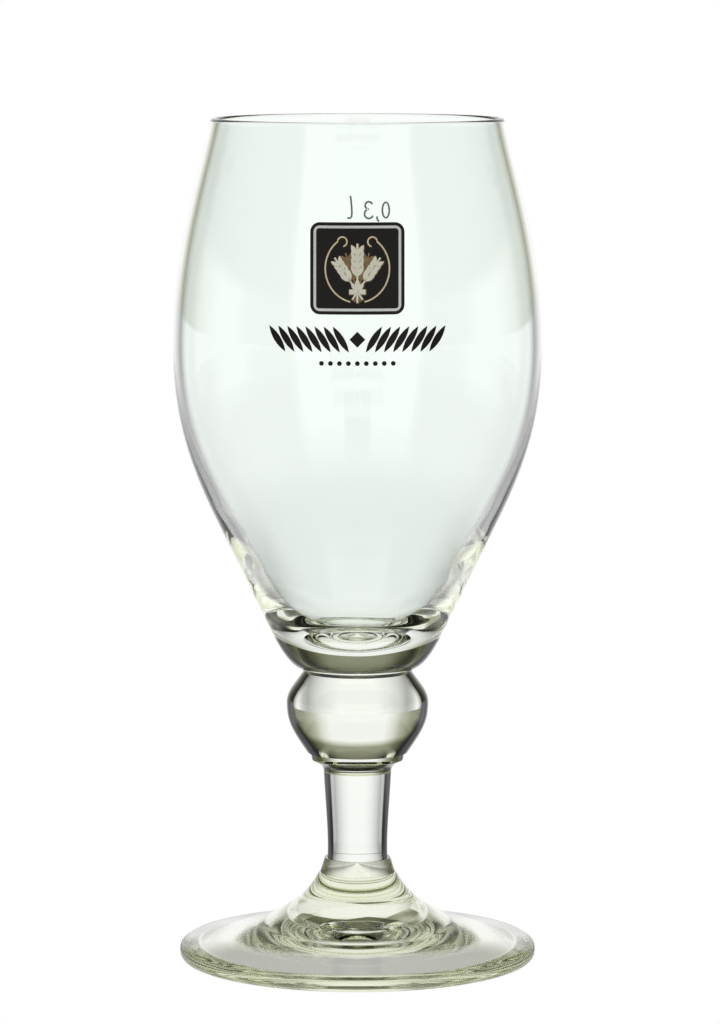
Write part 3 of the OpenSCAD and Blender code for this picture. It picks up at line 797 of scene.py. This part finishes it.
def capacity_mark():
    pen = 0.42
    nought = [arc(-6.5, 1.95, 1.0, 1.95, 90, 450, 40)[:-1], arc(-6.5, 1.95, 1.0 - pen, 1.95 - pen, 90, 450, 40)[:-1][::-1]]
    comma = stroke([(-4.5, 0.35), (-4.47, 0.05), (-4.61, -0.3), (-4.85, -0.55)], pen)
    three = stroke(arc(-2.6, 2.95, 0.85, 0.85, 150, -90, 16) + arc(-2.6, 1.05, 1.0, 1.05, 90, -150, 20)[1:], pen)
    litre = stroke([(1.62, 5.0), (1.5, 4.2), (1.36, 2.6), (1.3, 1.1), (1.42, 0.35), (1.75, 0.05), (2.2, 0.12)], pen)
    mark = filled("capacity_mark", nought + [comma, three, litre], 0.3)
    moved(mark, 0.0, 160.3)
    print_on_bowl(mark, DARK_ENAMEL, facing=1)


EAR, SHEAF, BAND, DOTS = ear_tree(), sheaf_tree(), band_tree(), dots_tree()
badge()
ornament()
capacity_mark()


# Studio

def emitter(name, points, colour, strength):
    """A flat light of the studio, which only the glass and the floor see."""
    glow = Finish(name, Base_Color=(0, 0, 0, 1), Roughness=1.0)
    glow.shader.inputs["Specular IOR Level"].default_value = 0.0
    glow.shader.inputs["Emission Color"].default_value = (*colour, 1)
    glow.shader.inputs["Emission Strength"].default_value = strength
    panel = new_object(name, points, (), [(0, 1, 2, 3)])
    panel.data.materials.append(glow.material)
    panel.visible_camera = False


def softbox(name, azimuth, distance, width, low_z, high_z, colour, strength):
    """An upright light that faces the glass. Azimuth 0 is behind the glass, and 90 at the camera's right."""
    a = math.radians(azimuth)
    mid = Vector((math.sin(a), math.cos(a), 0)) * distance
    along = Vector((math.cos(a), -math.sin(a), 0)) * width / 2
    emitter(name, [mid - along + Vector((0, 0, low_z)), mid + along + Vector((0, 0, low_z)),
                   mid + along + Vector((0, 0, high_z)), mid - along + Vector((0, 0, high_z))],
            colour, strength)


FLOOR_R = 4.0


def white_floor():
    """A glowing white table, pure white to the camera. The glass sees its glow with painted shade: darker about 32
    degrees off the line behind the glass, and a painted shadow round the foot except behind it.
    """
    paper = Finish("floor_white", Base_Color=(0, 0, 0, 1), Roughness=1.0)
    paper.shader.inputs["Specular IOR Level"].default_value = 0.0
    paper.shader.inputs["Emission Color"].default_value = (1, 1, 1, 1)
    place = paper.add("ShaderNodeTexCoord").outputs["Object"]
    apart = paper.add("ShaderNodeSeparateXYZ", Vector=place)
    far = paper.add("ShaderNodeVectorMath", {"operation": "LENGTH"})
    paper.put(place, far.inputs[0])
    # The glow that the glass sees is lowered by a painted shadow round the foot and by painted shade off the line
    # behind the glass.
    out = paper.math("DIVIDE", far.outputs["Value"], SHADE_R)
    shade = paper.math("MULTIPLY", paper.around(apart.outputs[0], apart.outputs[1], SHADE_AROUND),
                       paper.levels(out, SHADE_OUT))
    level = paper.math("SUBTRACT", paper.around(apart.outputs[0], apart.outputs[1], FLOOR_AROUND), shade)
    rays = paper.add("ShaderNodeLightPath")
    seen = paper.math("MAXIMUM", level, rays.outputs["Is Camera Ray"])
    paper.put(seen, paper.shader.inputs["Emission Strength"])
    rim = [(FLOOR_R * math.cos(math.tau * i / 96), FLOOR_R * math.sin(math.tau * i / 96), -0.0001) for i in range(96)]
    floor = new_object("floor", rim, (), [tuple(range(96))])
    floor.data.materials.append(paper.material)


def studio_world():
    """White for the camera. The glass sees a bright backdrop, dim sides, and a soft room behind the camera."""
    world = bpy.data.worlds.new("studio")
    world.use_nodes = True
    bpy.context.scene.world = world
    sky = Wires(world.node_tree)
    apart = sky.add("ShaderNodeSeparateXYZ", Vector=sky.add("ShaderNodeTexCoord").outputs["Generated"])
    up = sky.math("MULTIPLY_ADD", apart.outputs["Z"], 0.5, 0.5)

    def side(around, upwards, tone):
        """One side of the room, as a colour with less blue in it the dimmer it is."""
        level = sky.math("MULTIPLY", sky.around(apart.outputs["X"], apart.outputs["Y"], around),
                         sky.levels(up, [(math.sin(math.radians(deg)) / 2 + 0.5, level) for deg, level in upwards]))
        red, green, blue = (sky.math("MULTIPLY", value, share)
                            for value, share in zip((level, level, sky.math("POWER", level, DIM_WARMTH)), tone))
        return sky.add("ShaderNodeCombineColor", Red=red, Green=green, Blue=blue).outputs[0]

    light = side(BACKDROP_AROUND, BACKDROP_UP, (1.0, 1.0, 1.0))
    for part in (side(ROOM_AROUND, ROOM_UP, ROOM_TONE), side(WALL_AROUND, WALL_UP, (1.0, 1.0, 1.0))):
        both = sky.add("ShaderNodeVectorMath")
        sky.put(light, both.inputs[0])
        sky.put(part, both.inputs[1])
        light = both.outputs[0]
    room = sky.nodes["Background"]
    sky.put(light, room.inputs["Color"])
    white = sky.add("ShaderNodeBackground", Color=(1, 1, 1, 1))
    mix = sky.add("ShaderNodeMixShader", Fac=sky.add("ShaderNodeLightPath").outputs["Is Camera Ray"])
    sky.put(room.outputs[0], mix.inputs[1])
    sky.put(white.outputs[0], mix.inputs[2])
    sky.put(mix.outputs[0], sky.nodes["World Output"].inputs[0])


# Light levels by direction, in degrees round from behind the glass and up from the horizon.
BACKDROP_AROUND = ((0, 1.0), (16, 1.0), (22, 0.8), (28, 0.5), (36, 0.3), (46, 0.12), (60, 0.02), (75, 0.0))
BACKDROP_UP = ((-90, 1.0), (17, 1.0), (21, 0.6), (24, 0.3), (32, 0.25), (45, 0.15), (90, 0.1))
ROOM_AROUND = ((60, 0.0), (133, 0.02), (143, 1.2), (180, 1.2))
ROOM_UP = ((-90, 0.7), (0, 0.7), (14, 0.95), (30, 0.85), (38, 0.05), (90, 0.0))
WALL_AROUND = ((40, 0.0), (60, 0.3), (82, 0.94), (98, 0.94), (106, 0.4), (130, 0.3), (143, 0.0), (180, 0.0))
WALL_UP = ((-90, 1.0), (6, 1.0), (9, 0.0), (90, 0.0))
# The front room's tone, and how fast blue falls off with level: 1 is as fast as the rest.
ROOM_TONE = (1.0, 0.99, 0.84)
DIM_WARMTH = 1.27
# The table's glow by direction, with painted shade about 32 degrees off the line behind the glass, and the painted
# shadow on it round the foot, except behind it.
FLOOR_AROUND = ((0, 1.0), (9, 1.0), (17, 0.88), (25, 0.66), (32, 0.42), (38, 0.55), (45, 0.94), (180, 0.94))
SHADE_AROUND = ((0, 0.0), (30, 0.0), (60, 0.8), (180, 0.8))
SHADE_R = 0.2
SHADE_OUT = ((0, 0.4), (0.2, 0.45), (0.28, 1.0), (0.55, 1.0), (0.85, 0.0))


def camera():
    data = bpy.data.cameras.new("camera")
    data.lens, data.sensor_width = 170.07, 36.0
    obj = bpy.data.objects.new("camera", data)
    obj.location = (0.00055, -1.047, 0.2187)
    obj.rotation_euler = (math.radians(90 - 6.556), 0, 0)
    bpy.context.scene.collection.objects.link(obj)
    bpy.context.scene.camera = obj


cycles = bpy.context.scene.cycles
cycles.max_bounces = cycles.glossy_bounces = cycles.transmission_bounces = 24
cycles.transparent_max_bounces = 32

white_floor()
studio_world()
softbox("softbox_left", -150, 1.6, 0.62, 0.0, 1.1, (1, 1, 1), 1.2)
softbox("softbox_right", 150, 1.6, 0.62, 0.0, 1.1, (1, 1, 1), 1.2)
camera()
bpy.context.scene.view_settings.view_transform = "Standard"
